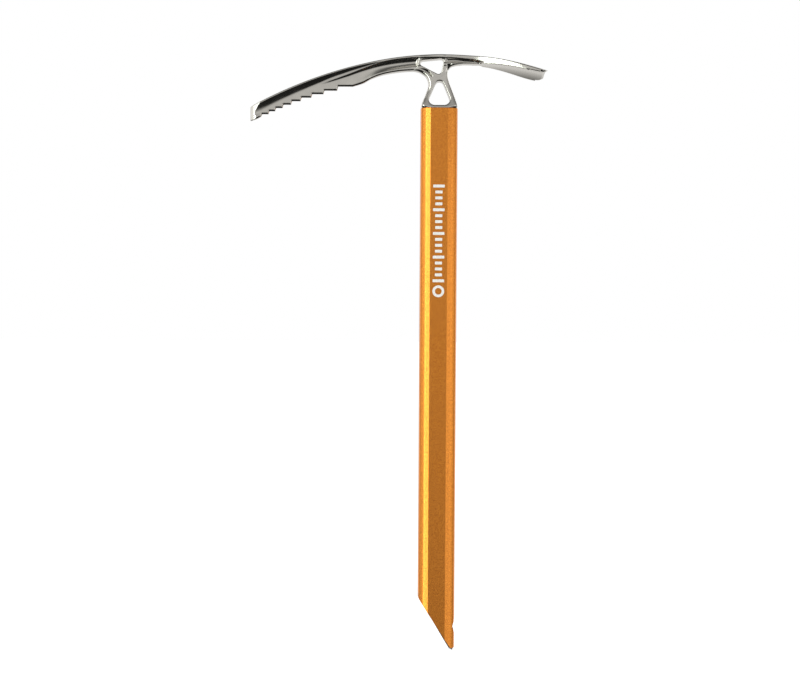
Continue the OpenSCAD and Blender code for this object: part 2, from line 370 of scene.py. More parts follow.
# Half width of the head seen from above, at places along X
PLAN = [
    (-200, 3.5), (-120, 4.1), (-60, 4.9), (0, 5.6), (24, 5.2), (33, 6.9), (44, 10.7), (56, 15.7),
    (68, 20.3), (78, 23.6), (86, 25), (110, 25),
]
# The chisel end: half width at the very end and slope of its edge, then of the facet behind it
CHISEL = [(0.1, 0.55), (0.7, 0.34)]

# Section of the blade at places s. The side steps in twice: the pick's groove takes the given share
# of it between two depths, and the beam's groove takes the rest from its own depth to its floor.
# Columns: place, depths of the first step, share, depth of the second step, half width and depth of
# the floor, half width and depth of the rib below it.
SECTION = [
    (-196, 1.3, 6.4, 1.00, 6.4, 2.3, 7.6, 3.5, 12.5),
    (-186, 1.3, 6.8, 1.00, 6.8, 2.1, 7.8, 3.1, 12.8),
    (-177, 1.3, 7.4, 1.00, 7.4, 1.7, 8.2, 2.0, 12.8),
    (-165, 1.3, 7.2, 1.00, 7.2, 1.5, 8.2, 1.7, 12.8),
    (-135, 1.3, 6.6, 1.00, 6.6, 1.6, 7.6, 1.8, 13.5),
    (-118, 1.3, 5.8, 1.00, 6.8, 1.7, 7.8, 1.9, 14.6),
    (-108, 1.3, 5.0, 0.84, 7.0, 1.75, 8.2, 2.0, 15.2),
    (-91, 1.3, 4.2, 0.62, 6.4, 1.8, 7.8, 2.2, 15.8),
    (-74, 1.4, 3.3, 0.40, 4.6, 2.0, 6.6, 2.9, 14.0),
    (-62, 1.5, 2.6, 0.15, 3.2, 2.3, 6.2, 4.0, 11.8),
    (-50, 1.7, 2.4, 0.00, 2.1, 2.5, 6.2, 4.8, 11.0),
    (-34, 2.0, 3.0, 0.00, 2.0, 2.6, 6.4, 5.0, 10.6),
    (-20, 2.2, 3.2, 0.00, 2.2, 2.7, 6.4, 5.1, 10.4),
    (-4, 2.8, 3.8, 0.00, 2.8, 2.9, 6.2, 5.2, 8.8),
    (8, 3.0, 4.0, 0.00, 3.0, 3.0, 6.4, 5.0, 8.0),
    (20, 3.4, 4.4, 0.00, 3.4, 3.5, 6.4, 4.9, 7.4),
    (30, 3.8, 4.8, 0.00, 3.8, 4.4, 6.2, 5.4, 7.0),
    (37, 4.6, 5.6, 0.00, 4.6, 8.0, 6.4, 8.0, 8.0),
    (44, 5.0, 6.0, 0.00, 5.0, 30.0, 6.4, 30.0, 8.0),
]


# How steeply the sides fall into the groove, and how much steeper they do along the beam, which takes
# over from the pick at a place s, over a length
GROOVE_POWER = 1.35
BEAM_POWER_MORE = 0.65
BEAM_FADE = (-100, 30)


def blade_half_width(x, z):
    """Half width of the blade at points in side view, with the grooves along its side."""
    s, d = crest_coords(x, z)
    top = smooth_rows(PLAN, x)[..., 1]
    row = smooth_rows(SECTION, s)
    side_d, first_d, share, second_d = (row[..., k] for k in range(1, 5))
    groove_w, groove_d, rib_w, rib_d = (row[..., k] for k in range(5, 9))
    beam = fade(s, *BEAM_FADE)
    power = GROOVE_POWER + BEAM_POWER_MORE * beam
    first = 1 - np.clip((d - side_d) / (first_d - side_d), 0, 1)
    second = 1 - np.clip((d - second_d) / (groove_d - second_d), 0, 1)
    out = np.clip((d - groove_d) / (rib_d - groove_d), 0, 1)
    share = np.clip(share, 0, 1)
    steps = share * first**GROOVE_POWER + (1 - share) * second**power
    width = groove_w + (top - groove_w) * steps
    width = width + (rib_w - groove_w) * out ** (1 + beam)
    return np.minimum(width, top)


# The adze is hollowed from below: depth of its underside at places along the crest
UNDERSIDE = [(0, 9.4), (8, 8.6), (29, 7.2), (50, 5.4), (72, 3.9), (94, 2.2), (110, 1.0)]
NO_HOLLOW = 30
# Its ground edge: width, depth left at the very end, corner radius and where it may start
EDGE_LAND = 2.2
EDGE_DEPTH = 0.6
ADZE_CORNER_R = 7
GROUND_FROM_X = 60

# Roundings of the blade: along its top, under it, and below the adze. The lower edge is rounded more
# behind the teeth, and the bevel of the teeth ends at the heel, each over a length along X
TOP_SOFT = 0.9
TOOTH_SOFT = 0.45
BEAM_SOFT_MORE = 1.1
BEAM_SOFT_FADE = (-72, 10)
TOOTH_BEVEL_FADE = (56, 10)
UNDERSIDE_SOFT = 0.7

# The eye above the collar, and the smaller window above it
EYE = rounded([(-12.4, -7.3), (12.2, -7.3), (0.2, 21)], [5.2, 5.2, 4])
WINDOW = rounded([(-24.8, 32.9), (4.6, 35.8), (0.9, 20)], [2.8, 2.8, 2.8])
WINDOW_FRAME = 2.6

COLLAR_Z = TUBE_HIGH[2]
COLLAR_HALF = (TUBE_HIGH[1] - TUBE_LOW[1]) / 2 - 0.3
NECK_LEFT = smooth_line(
    [(-17.2, COLLAR_Z), (-15.6, -4.5), (-12.9, 2), (-10.2, 11.5), (-12.8, 19.4), (-22, 25.2)]
)
NECK_RIGHT = smooth_line(
    [(20, 31.4), (9.8, 27.6), (7.6, 19), (13.3, 2.5), (15.9, -5), (17, COLLAR_Z)]
)
NECK_SIDE = np.concatenate([
    [(-17.2, COLLAR_Z - 8)], NECK_LEFT, [(-19, 29.5), (-9, 29), (0, 26), (9, 32.5), (14, 33)],
    NECK_RIGHT, [(17, COLLAR_Z - 8)],
])
# Pockets beside the window: outline in side view, height of the bottom and half width there
POCKETS = [
    (smooth_line([
        (7.9, 23.4), (7.0, 28), (6.9, 33), (9, 35.4), (16, 35), (22, 34), (20, 32.9), (14, 32.1),
        (10.6, 30.2), (9.1, 27.2), (8.4, 24.4), (7.9, 23.4),
    ], 4)[:-1], 23.4, 1.6),
    (smooth_line([
        (-19, 26.2), (-13.4, 25.5), (-9.4, 23.2), (-6.6, 19), (-8.6, 20.4), (-12.6, 23.4), (-19, 26.2),
    ], 4)[:-1], 19, 2.4),
]
POCKET_SLOPE = 0.5
POCKET_STEEPNESS = 0.8
# Half thickness of the neck at heights Z
NECK_FRONT = [
    (COLLAR_Z, COLLAR_HALF - 0.4), (-6, COLLAR_HALF - 1.3), (0, 7.4), (10, 6.1), (34, 5.0),
]
COLLAR_EDGE = 0.4
WINDOW_FRAME_HALF = 5.0

# Roundings of the neck: its legs, its collar, the window's frame and where the frame meets the legs;
# then where the neck meets the blade, the pockets, the eye and the window
LEG_SOFT = 3.4
COLLAR_SOFT = 1.0
FRAME_SOFT = 1.1
FRAME_JOIN_SOFT = 1.2
BLADE_JOIN_SOFT = 2.4
POCKET_SOFT = 0.6
EYE_SOFT = 1.3
WINDOW_SOFT = 0.9

# Small cast bump under the adze: place and depth along the crest, Y, radius, flattening and rounding
PIP_S, PIP_D, PIP_Y = 79.5, 3.6, -8
PIP_R = 1.3
PIP_FLATTENING = 1.2
PIP_SOFT = 0.6


# --- Shaft section ----------------------------------------------------------------------

SHAFT_HALF_W = (TUBE_HIGH[0] - TUBE_LOW[0]) / 2 + 0.05
SHAFT_HALF_T = (TUBE_HIGH[1] - TUBE_LOW[1]) / 2
FLAT_HALF = 7.5
WALL = 1.3
# The facets are bent a little at their middle. Every radius is larger than the deepest inset used,
# so that no inner outline crosses itself
FACET_MIDDLE = (12.1, SHAFT_HALF_T - 1.5)
FLAT_R = 3.4
EDGE_R = 3.6
CORNER_R = 3.6
FACET_R = 17
SHOULDER_IN = 0.9
SHOULDER_SHARE = 0.65


def shaft_outline(inset=0, steps=6):
    """Outline of the shaft: two flats, four sloping facets and two rounded edges."""
    shoulder = (SHAFT_HALF_W - SHOULDER_IN, SHAFT_HALF_T * SHOULDER_SHARE)
    quarter = [(FLAT_HALF, SHAFT_HALF_T), FACET_MIDDLE, shoulder]
    corner = [(SHAFT_HALF_W, 0)] + quarter[::-1] + [(-x, y) for x, y in quarter]
    corner += [(-SHAFT_HALF_W, 0)] + [(-x, -y) for x, y in quarter[::-1]]
    corner += [(x, -y) for x, y in quarter]
    radii = [EDGE_R] + [CORNER_R, FACET_R, FLAT_R] + [FLAT_R, FACET_R, CORNER_R]
    outline = rounded(corner, radii + radii, steps)
    along = np.roll(outline, -1, axis=0) - np.roll(outline, 1, axis=0)
    normal = np.stack([along[:, 1], -along[:, 0]], 1)
    normal /= np.linalg.norm(normal, axis=1)[:, None]
    return outline - normal * inset


# --- Head: solid ------------------------------------------------------------------------

# Step of the grid, share of the faces kept, limit of the stored field, and a value too low to count
GRID = 0.45
KEPT_SHARE = 0.72
FIELD_LIMIT = 5.0
DEEP_INSIDE = -9
# Space for the adhesive, wall of the tang, its reach up into the collar and the floor of its hollow
BOND = 0.25
TANG_WALL = 1.6
TANG_LAP = 1
TANG_FLOOR = 1.5
LOWER_EDGE = lower_edge()
COLLAR_OUTLINE = shaft_outline(0.05)
TANG_OUTSIDE = shaft_outline(WALL + BOND)
TANG_INSIDE = shaft_outline(WALL + BOND + TANG_WALL)


def blade_field(x, y, z):
    """Pick, beam and adze: negative inside."""
    s, d = crest_coords(x, z)
    width = blade_half_width(x, z)
    slope = np.abs(smooth_rows(PLAN, x + 0.5)[..., 1] - smooth_rows(PLAN, x - 0.5)[..., 1])
    side = (np.abs(y) - width) / np.sqrt(1 + slope**2)
    top = crown(y) - d
    edge = outline_distance(x, z, LOWER_EDGE)
    toothed = fade(-x, *TOOTH_BEVEL_FADE)
    body = soft_max(side, top, TOP_SOFT)
    body = soft_max(body, edge, TOOTH_SOFT + BEAM_SOFT_MORE * fade(x, *BEAM_SOFT_FADE))
    body = np.maximum(body, (side + edge + TOOTH_BEVEL) * math.sqrt(0.5) - 2 * (1 - toothed))
    run = smooth_rows(UNDERSIDE, s)[..., 1]
    under = d - crown(y) - np.where(s < 0, run + NO_HOLLOW, run)
    body = soft_max(body, under, UNDERSIDE_SOFT)
    # The rounded corners and the ground edge of the adze
    corner_x = ADZE_END - ADZE_CORNER_R
    past_x = np.maximum(x - corner_x, 0)
    past_y = np.maximum(np.abs(y) - (ADZE_HALF - ADZE_CORNER_R), 0)
    cutting = np.where(x > corner_x, np.hypot(past_x, past_y) - ADZE_CORNER_R, x - ADZE_END)
    ground = d - crown(y) - EDGE_DEPTH + cutting * (run - EDGE_DEPTH) / EDGE_LAND
    ground = np.where(x > GROUND_FROM_X, ground, DEEP_INSIDE)
    body = np.maximum(body, np.maximum(cutting, ground))
    # The chisel end of the pick
    for half, tangent in CHISEL:
        facet = (np.abs(y) - half - (x - PICK_END) * tangent) / math.hypot(1, tangent)
        body = np.maximum(body, facet)
    return np.maximum(body, PICK_END - x)


def neck_field(x, y, z):
    """The two legs, the collar and the frame round the upper window."""
    outline = outline_distance(x, z, NECK_SIDE)
    front = smooth_rows(NECK_FRONT, z)[..., 1]
    section = outline_distance(x, y, COLLAR_OUTLINE) - np.maximum(z - COLLAR_Z - COLLAR_EDGE, 0)
    legs = soft_max(outline, np.abs(y) - front, LEG_SOFT)
    legs = np.maximum(soft_max(legs, section, COLLAR_SOFT), COLLAR_Z - z)
    window = outline_distance(x, z, WINDOW)
    rim = soft_max(window - WINDOW_FRAME, np.abs(y) - WINDOW_FRAME_HALF, FRAME_SOFT)
    return soft_min(legs, rim, FRAME_JOIN_SOFT)


def tang_field(x, y, z):
    """The hollow tang inside the tube."""
    outside = np.maximum(outline_distance(x, y, TANG_OUTSIDE), HEAD_LOW[2] - z)
    outside = np.maximum(outside, z - COLLAR_Z - TANG_LAP)
    inside = np.maximum(outline_distance(x, y, TANG_INSIDE), z - COLLAR_Z + TANG_FLOOR)
    return np.maximum(outside, -inside)


def pip_field(x, y, z):
    """A small cast bump on the underside of the adze."""
    at = crest_point(PIP_S, PIP_D)
    across = (x - at[0]) ** 2 + (y - PIP_Y) ** 2
    return np.sqrt(across + ((z - at[1]) * PIP_FLATTENING) ** 2) - PIP_R


def head_field(x, y, z, part):
    """The whole head within one of its stretches: negative inside."""
    field = blade_field(x, y, z)
    if part == "neck":
        field = soft_min(field, neck_field(x, y, z), BLADE_JOIN_SOFT)
        field = np.maximum(field, crown(y) - crest_coords(x, z)[1])
        for outline, low, half in POCKETS:
            floor_half = half + POCKET_SLOPE * (z - low)
            sides = outline_distance(x, z, outline) * POCKET_STEEPNESS
            pocket = np.maximum(sides, floor_half - np.abs(y))
            field = soft_max(field, -pocket, POCKET_SOFT)
        field = soft_max(field, -outline_distance(x, z, EYE), EYE_SOFT)
        field = soft_max(field, -outline_distance(x, z, WINDOW), WINDOW_SOFT)
        field = np.minimum(np.maximum(field, COLLAR_Z - z), tang_field(x, y, z))
        field = np.maximum(field, PIN_R - np.hypot(y, z - PIN_Z))
    if part == "adze":
        field = soft_min(field, pip_field(x, y, z), PIP_SOFT)
    return field


# Stretches of the head along X: from, to, reach to each side, lowest Z and what it holds
STRETCHES = [(-200, -33, 7, -24, "pick"), (-33, 30, 11.5, -60, "neck"), (30, 110, 30, 0, "adze")]


def head_slope(points, part, probe):
    """The head's field at points, and its slope there."""

    def value(p):
        return head_field(p[:, 0], p[:, 1], p[:, 2], part)

    sides = [value(points + probe * e) - value(points - probe * e) for e in np.eye(3)]
    return value(points), np.stack(sides, 1) / (2 * probe)


def settled(points, rounds=2, probe=0.04, longest=0.2, flattest=0.2, shading_probe=0.4):
    """Points moved onto the true surface, and the way the surface faces at each."""
    points = points.copy()
    facing = np.zeros_like(points)
    for x0, x1, _, _, part in STRETCHES:
        chosen = np.flatnonzero((points[:, 0] >= x0) & (points[:, 0] < x1))
        near = points[chosen]
        for _ in range(rounds):
            value, slope = head_slope(near, part, probe)
            steep = np.maximum((slope**2).sum(1), flattest)
            move = -slope * (value / steep)[:, None]
            length = np.linalg.norm(move, axis=1)
            near = near + move * np.minimum(1, longest / np.maximum(length, 1e-9))[:, None]
        points[chosen] = near
        facing[chosen] = head_slope(near, part, shading_probe)[1]
    return points, facing


def head_mesh():
    """Points and quads of the head's surface on a grid, its stairs evened out."""
    low = np.array([PICK_END, -ADZE_HALF, HEAD_LOW[2]]) - 2.3 * GRID
    high = np.array([ADZE_END, ADZE_HALF, CREST_Z]) + 3 * GRID
    axes = [np.arange(a, b, GRID) for a, b in zip(low, high)]
    axes[1] -= (axes[1][0] + axes[1][-1]) / 2
    origin = np.array([a[0] for a in axes])
    field = np.full([len(a) for a in axes], FIELD_LIMIT, np.float32)
    for x0, x1, reach, floor, part in STRETCHES:
        i = np.flatnonzero((axes[0] >= x0) & (axes[0] < x1))
        j = np.flatnonzero(np.abs(axes[1]) < reach)
        k = np.flatnonzero(axes[2] > floor)
        x = axes[0][i][:, None, None]
        y = axes[1][j][None, :, None]
        z = axes[2][k][None, None, :]
        value = np.clip(head_field(x, y, z, part), -FIELD_LIMIT, FIELD_LIMIT)
        field[i[0]:i[-1] + 1, j[0]:j[-1] + 1, k[0]:k[-1] + 1] = value
    points, quads = surface_net(field, origin, GRID)
    return relaxed(points, quads, 2, 0.35), quads


def evened(facing, mesh, rounds=2):
    """Directions of unit length, each mixed with its neighbours' so that highlights run smoothly."""
    ends = np.array([e.vertices for e in mesh.edges])
    a = np.concatenate([ends[:, 0], ends[:, 1]])
    b = np.concatenate([ends[:, 1], ends[:, 0]])
    count = np.maximum(np.bincount(a, minlength=len(facing)), 1)
    for _ in range(rounds):
        facing = facing / np.maximum(np.linalg.norm(facing, axis=1), 1e-9)[:, None]
        around = np.stack([np.bincount(a, facing[b, k], len(facing)) for k in range(3)], 1)
        facing = facing + around / count[:, None]
    return facing / np.maximum(np.linalg.norm(facing, axis=1), 1e-9)[:, None]


def make_head():
    """The head as a fine mesh that lies on the true surface and is shaded by its slope."""
    piece = piece_from("head_cast", *head_mesh())
    modified(piece, "DECIMATE", ratio=KEPT_SHARE)
    mesh = piece.data
    points = np.array([v.co for v in mesh.vertices]) / MM
    points, facing = settled(points)
    points = np.clip(points, HEAD_LOW, HEAD_HIGH)
    mesh.vertices.foreach_set("co", (points * MM).ravel())
    mesh.update()
    mesh.shade_smooth()
    mesh.normals_split_custom_set_from_vertices(evened(facing, mesh).tolist())
    return piece


# --- Materials --------------------------------------------------------------------------


class Nodes:
    """A short way to write a node tree."""

    def __init__(self, name):
        self.material = bpy.data.materials.new(name)
        self.material.use_nodes = True
        self.tree = self.material.node_tree
        self.shader = self.tree.nodes["Principled BSDF"]

    def add(self, kind, inputs=(), **settings):
        node = self.tree.nodes.new("ShaderNode" + kind)
        for key, value in settings.items():
            setattr(node, key, value)
        for key, value in dict(inputs).items():
            self.put(value, node.inputs[key])
        return node

    def put(self, value, socket):
        if isinstance(value, bpy.types.NodeSocket):
            self.tree.links.new(value, socket)
        else:
            socket.default_value = value

    def set(self, **values):
        for key, value in values.items():
            self.put(value, self.shader.inputs[key.replace("_", " ")])

    def place(self):
        return self.add("TexCoord").outputs["Object"]

    def noise(self, scale, detail=4, stretch=None, roughness=0.55):
        vector = self.place()
        if stretch:
            vector = self.add("Mapping", {"Vector": vector, "Scale": stretch}).outputs[0]
        wanted = {"Vector": vector, "Scale": scale, "Detail": detail, "Roughness": roughness}
        return self.add("TexNoise", wanted).outputs["Fac"]

    def ramp(self, value, stops):
        node = self.add("ValToRGB", {"Fac": value})
        elements = node.color_ramp.elements
        while len(elements) < len(stops):
            elements.new(0.5)
        for element, (place, colour) in zip(elements, stops):
            element.position = place
            element.color = (*colour, 1) if len(colour) == 3 else colour
        return node.outputs["Color"]

    def fit(self, value, low, high, to_low, to_high):
        wanted = {"Value": value, "From Min": low, "From Max": high}
        wanted.update({"To Min": to_low, "To Max": to_high})
        return self.add("MapRange", wanted).outputs[0]

    def bump(self, height, strength, distance):
        wanted = {"Height": height, "Strength": strength, "Distance": distance * MM}
        self.put(self.add("Bump", wanted).outputs["Normal"], self.shader.inputs["Normal"])


def cast_steel():
    """Stainless steel, blasted with fine beads and then polished."""
    n = Nodes("cast_steel")
    cloudy = n.noise(90, 3)
    fine = n.noise(2600, 2)
    n.set(Metallic=1.0)
    n.set(Base_Color=n.ramp(cloudy, [(0.3, (0.72, 0.70, 0.66)), (0.7, (0.80, 0.78, 0.735))]))
    n.set(Roughness=n.fit(cloudy, 0.3, 0.7, 0.15, 0.23))
    n.bump(fine, 0.25, 0.02)
    return n.material


def orange_anodised():
    """Blasted aluminium with an orange anodised coat, satin, with a fine speckle."""
    n = Nodes("orange_anodised")
    speckle = n.noise(1000, 3, roughness=0.75)
    streak = n.noise(60, 4, (1, 1, 0.04))
    # The dye scatters some light, so that the coat keeps its colour where it mirrors the dark below
    n.set(Metallic=0.75)
    colour = n.ramp(speckle, [(0.35, (0.67, 0.205, 0.026)), (0.65, (1.0, 0.37, 0.05))])
    n.set(Base_Color=colour)
    n.set(Roughness=n.fit(streak, 0.3, 0.7, 0.2, 0.25))
    n.bump(speckle, 0.35, 0.03)
    return n.material


def dark_spike_steel():
    """Heat-treated sheet, dark, with scratches along the ground edge."""
    n = Nodes("dark_spike_steel")
    scratches = n.noise(700, 4, (1, 1, 0.1))
    n.set(Metallic=1.0)
    n.set(Base_Color=n.ramp(scratches, [(0.3, (0.16, 0.16, 0.165)), (0.7, (0.30, 0.30, 0.305))]))
    n.set(Roughness=n.fit(scratches, 0.3, 0.7, 0.28, 0.45))
    n.bump(scratches, 0.3, 0.02)
    return n.material


def ground_steel(name="ground_steel"):
    n = Nodes(name)
    lines = n.noise(1200, 3, (1, 0.15, 1))
    n.set(Metallic=1.0)
    n.set(Base_Color=n.ramp(lines, [(0.3, (0.48, 0.48, 0.47)), (0.7, (0.60, 0.60, 0.59))]))
    n.set(Roughness=n.fit(lines, 0.3, 0.7, 0.26, 0.40))
    n.bump(lines, 0.25, 0.01)
    return n.material


def cured_epoxy():
    n = Nodes("cured_epoxy")
    cloudy = n.noise(500, 3)
    n.set(Base_Color=n.ramp(cloudy, [(0.3, (0.30, 0.24, 0.14)), (0.7, (0.42, 0.35, 0.22))]))
    n.set(Roughness=n.fit(cloudy, 0.3, 0.7, 0.35, 0.5))
    n.bump(cloudy, 0.3, 0.05)
    return n.material


def closed_cell_foam():
    n = Nodes("closed_cell_foam")
    cells = n.add("TexVoronoi", {"Vector": n.place(), "Scale": 1400.0}).outputs["Distance"]
    n.set(Base_Color=n.ramp(cells, [(0.1, (0.022, 0.022, 0.024)), (0.7, (0.05, 0.05, 0.053))]))
    n.set(Roughness=0.85)
    n.bump(cells, 0.8, 0.2)
    return n.material


def white_print():
    """Screen-printed white ink, slightly worn."""
    n = Nodes("white_print")
    wear = n.noise(900, 4)
    n.set(Base_Color=n.ramp(wear, [(0.28, (0.72, 0.69, 0.63)), (0.45, (0.88, 0.87, 0.85))]))
    n.set(Roughness=n.fit(wear, 0.3, 0.7, 0.45, 0.6))
    n.bump(wear, 0.15, 0.01)
    return n.material


def wear(piece, material):
    """Gives a piece its one material."""
    piece.data.materials.clear()
    piece.data.materials.append(material)


# --- Shaft tube -------------------------------------------------------------------------

# The slanted cut, and the holes through the narrow sides: heights above the spike's lowest point
CUT_ANGLE = math.radians(33)
CUT_Z = TUBE_LOW[2] - 5.8
LEASH_RISE = 21.8
LEASH_R = 7.1
RIVET_RISE = 52
RIVET_PITCH = 12
RIVET_R = 1.6
TUBE_SPARE = 3
TUBE_EDGE = 0.22
# Reach of the rods that drill the holes, which start on one side of the tube or inside it
ROD_START = -40
ROD_INSIDE = 5
ROD_END = 40


def ring_solid(name, outside, inside, z0, z1, step=8):
    """A closed tube between two outlines with the same number of points, in rings a step apart."""
    n = len(outside)
    levels = np.linspace(z0, z1, 2 + int((z1 - z0) / step))
    points = [(x, y, z) for z in levels for x, y in outside]
    points += [(x, y, z) for z in levels for x, y in inside]
    inner = len(levels) * n
    top = inner - n
    faces = []
    for i in range(n):
        j = (i + 1) % n
        for k in range(0, top, n):
            faces.append((k + i, k + j, k + n + j, k + n + i))
            faces.append((inner + k + j, inner + k + i, inner + k + n + i, inner + k + n + j))
        faces.append((j, i, inner + i, inner + j))
        faces.append((top + i, top + j, inner + top + j, inner + top + i))
    return piece_from(name, points, faces)


def prism(name, outline, z0, z1):
    """A closed block between two heights, from an outline in X and Y."""
    n = len(outline)
    points = [(x, y, z) for z in (z0, z1) for x, y in outline]
    faces = [(i, (i + 1) % n, n + (i + 1) % n, n + i) for i in range(n)]
    faces += [tuple(range(n))[::-1], tuple(range(n, 2 * n))]
    return piece_from(name, points, faces)


def rod_along_x(name, r, x0, x1, z, sides=64):
    """A round rod at height z, from x0 to x1."""
    turn = np.linspace(0, 2 * math.pi, sides, endpoint=False)
    circle = np.stack([r * np.cos(turn), r * np.sin(turn)], 1)
    rod = prism(name, circle, x0, x1)
    raised = Matrix.Translation((0, 0, z * MM))
    rod.data.transform(raised @ Matrix.Rotation(math.radians(90), 4, "Y"))
    return rod


def slanted_cutter(angle, x, z):
    """All that lies on the open side of the slanted end."""
    block = prism("cutter", rectangle(-200, 0, -50, 50), -150, 150)
    place = Matrix.Translation((x * MM, 0, z * MM)) @ Matrix.Rotation(-angle, 4, "Y")
    block.data.transform(place)
    return block


def cross_holes():
    """Centre height, radius and first X of the round holes through the tube's sides."""
    low = SPIKE_LOW[2] + RIVET_RISE
    return {
        "pins": (PIN_Z, PIN_R, ROD_START),
        "leash": (SPIKE_LOW[2] + LEASH_RISE, LEASH_R, ROD_INSIDE),
        "rivet_low": (low, RIVET_R, ROD_INSIDE),
        "rivet_high": (low + RIVET_PITCH, RIVET_R, ROD_INSIDE),
    }


def make_tube():
    """The shaft: cut at a slant, drilled, and trimmed level at its lowest point."""
    bottom = TUBE_LOW[2]
    tube = ring_solid(
        "shaft_tube_skin", shaft_outline(), shaft_outline(WALL), bottom - TUBE_SPARE, TUBE_HIGH[2]
    )
    cut(tube, slanted_cutter(CUT_ANGLE, SHAFT_HALF_W, CUT_Z))
    for name, (z, r, x0) in cross_holes().items():
        cut(tube, rod_along_x(name, r, x0, ROD_END, z))
    cut(tube, prism("trim", rectangle(-60, 60, -60, 60), bottom - 20, bottom))
    finish_edges(tube, TUBE_EDGE)
    return tube


# --- Spike insert -----------------------------------------------------------------------

# Thickness of the sheet, where it starts along X, and how its cut differs from the tube's: a little
# steeper, so that its edge stands further out towards the point, and cut back at the point itself
SPIKE_SHEET = 1.8
SPIKE_FRONT = -6
SPIKE_TURN = math.radians(2.3)
SPIKE_EDGE = 2.65
POINT_ANGLE = math.radians(56)
POINT_EDGE = 0.6
SPIKE_BROKEN_EDGE = 0.2
FIT_GAP = 0.05


def make_spike():
    """The bent sheet inside the slanted end, whose edge is the spike."""
    low, high = SPIKE_LOW[2], SPIKE_HIGH[2]
    outer = WALL + FIT_GAP
    spike = ring_solid(
        "spike_sheet", shaft_outline(outer), shaft_outline(outer + SPIKE_SHEET), low, high
    )
    in_front = rectangle(SPIKE_FRONT - 40, SPIKE_FRONT, -30, 30)
    cut(spike, prism("front", in_front, low - 5, high + 5))
    inner_x = SHAFT_HALF_W - WALL
    cut(spike, slanted_cutter(CUT_ANGLE - SPIKE_TURN, inner_x - SPIKE_EDGE, low))
    cut(spike, slanted_cutter(POINT_ANGLE, inner_x - POINT_EDGE, low))
    holes = cross_holes()
    for name in ("leash", "rivet_low", "rivet_high"):
        z, r, x0 = holes[name]
        cut(spike, rod_along_x(name, r, x0, ROD_END, z))
    finish_edges(spike, SPIKE_BROKEN_EDGE)
    return spike


# --- Foam plug --------------------------------------------------------------------------


# Ends of the plug: share of the outline and height above the end, from the middle out to the side
PLUG_RIM = 1.6
PLUG_END = [(0.0, 0.3), (0.55, 0.15), (0.8, 0.35), (0.92, 0.8), (0.98, PLUG_RIM)]
PLUG_SIDE = 0.998


def make_plug():
    """A foam plug squeezed into the tube: its two ends bulge a little between rounded rims."""
    outline = shaft_outline(WALL + FIT_GAP)
    z0, z1 = PLUG_LOW[2], PLUG_HIGH[2]
    rings = [(share, z0 + rise) for share, rise in PLUG_END]
    rings += [(PLUG_SIDE, z0 + PLUG_RIM + 2), (PLUG_SIDE, z1 - PLUG_RIM - 2)]
    rings += [(share, z1 - rise) for share, rise in PLUG_END[::-1]]
    n = len(outline)
    points = [(0, 0, rings[0][1])]
    for share, z in rings[1:-1]:
        points += [(x * share, y * share, z) for x, y in outline]
    points.append((0, 0, rings[-1][1]))
    faces = [(0, 1 + (i + 1) % n, 1 + i) for i in range(n)]
    for k in range(len(rings) - 3):
        a = 1 + k * n
        b = a + n
        faces += [(a + i, a + (i + 1) % n, b + (i + 1) % n, b + i) for i in range(n)]
    top = 1 + (len(rings) - 3) * n
    faces += [(len(points) - 1, top + i, top + (i + 1) % n) for i in range(n)]
    return piece_from("foam_plug", points, faces)


# --- Generic print on the near flat -----------------------------------------------------

PRINT_TOP = COLLAR_Z - 70
PRINT_BAR = 2.6
PRINT_PITCH = 5.4
PRINT_BARS = 17
PRINT_LONG, PRINT_SHORT = 10.5, 6.5
PRINT_LONG_EVERY = 4
PRINT_CORNER_R = 0.5
PRINT_THICK = 0.03
# The ring below the bars: drop from the last bar's place, outer and inner radius
RING_DROP = 5.5
RING_R = 5.4
RING_HOLE_R = 3.1


def flat_shape(outline, centre, hole=None):
    """Points and faces of a thin slab on the near flat, from an outline in X and Z."""
    y_front = -SHAFT_HALF_T - PRINT_THICK
    y_back = -SHAFT_HALF_T + PRINT_THICK
    n = len(outline)
    place = [(p[0] + centre[0], y, p[1] + centre[1]) for y in (y_front, y_back) for p in outline]
    if hole is None:
        faces = [(i, (i + 1) % n, n + (i + 1) % n, n + i) for i in range(n)]
        faces += [tuple(range(n))[::-1], tuple(range(n, 2 * n))]
        return place, faces
    place += [(p[0] + centre[0], y, p[1] + centre[1]) for y in (y_front, y_back) for p in hole]
    faces = []
    for i in range(n):
        j = (i + 1) % n
        faces.append((i, j, n + j, n + i))
        faces.append((2 * n + j, 2 * n + i, 3 * n + i, 3 * n + j))
        faces.append((j, i, 2 * n + i, 2 * n + j))
        faces.append((n + i, n + j, 3 * n + j, 3 * n + i))
    return place, faces


def make_print():
    """A plain scale of bars, every fourth one long, above a ring."""
    points, faces = [], []

    def keep(shape):
        start = len(points)
        points.extend(shape[0])
        faces.extend([tuple(start + i for i in f) for f in shape[1]])

    for k in range(PRINT_BARS):
        half = (PRINT_LONG if k % PRINT_LONG_EVERY == 0 else PRINT_SHORT) / 2
        tall = PRINT_BAR / 2
        bar = rounded(rectangle(-half, half, -tall, tall), [PRINT_CORNER_R] * 4, 4)
        keep(flat_shape(bar, (0, PRINT_TOP - tall - k * PRINT_PITCH)))
    turn = np.linspace(0, 2 * math.pi, 48, endpoint=False)
    circle = np.stack([np.cos(turn), np.sin(turn)], 1)
    ring_z = PRINT_TOP - PRINT_BARS * PRINT_PITCH - RING_DROP
    keep(flat_shape(circle * RING_R, (0, ring_z), circle * RING_HOLE_R))
    piece = piece_from("shaft_print", points, faces)
    mesh = piece.data
    bm = bmesh.new()
    bm.from_mesh(mesh)
    bmesh.ops.recalc_face_normals(bm, faces=bm.faces)
    bm.to_mesh(mesh)
    bm.free()
    mesh.shade_flat()
    return piece


# --- Stage, light and camera ------------------------------------------------------------


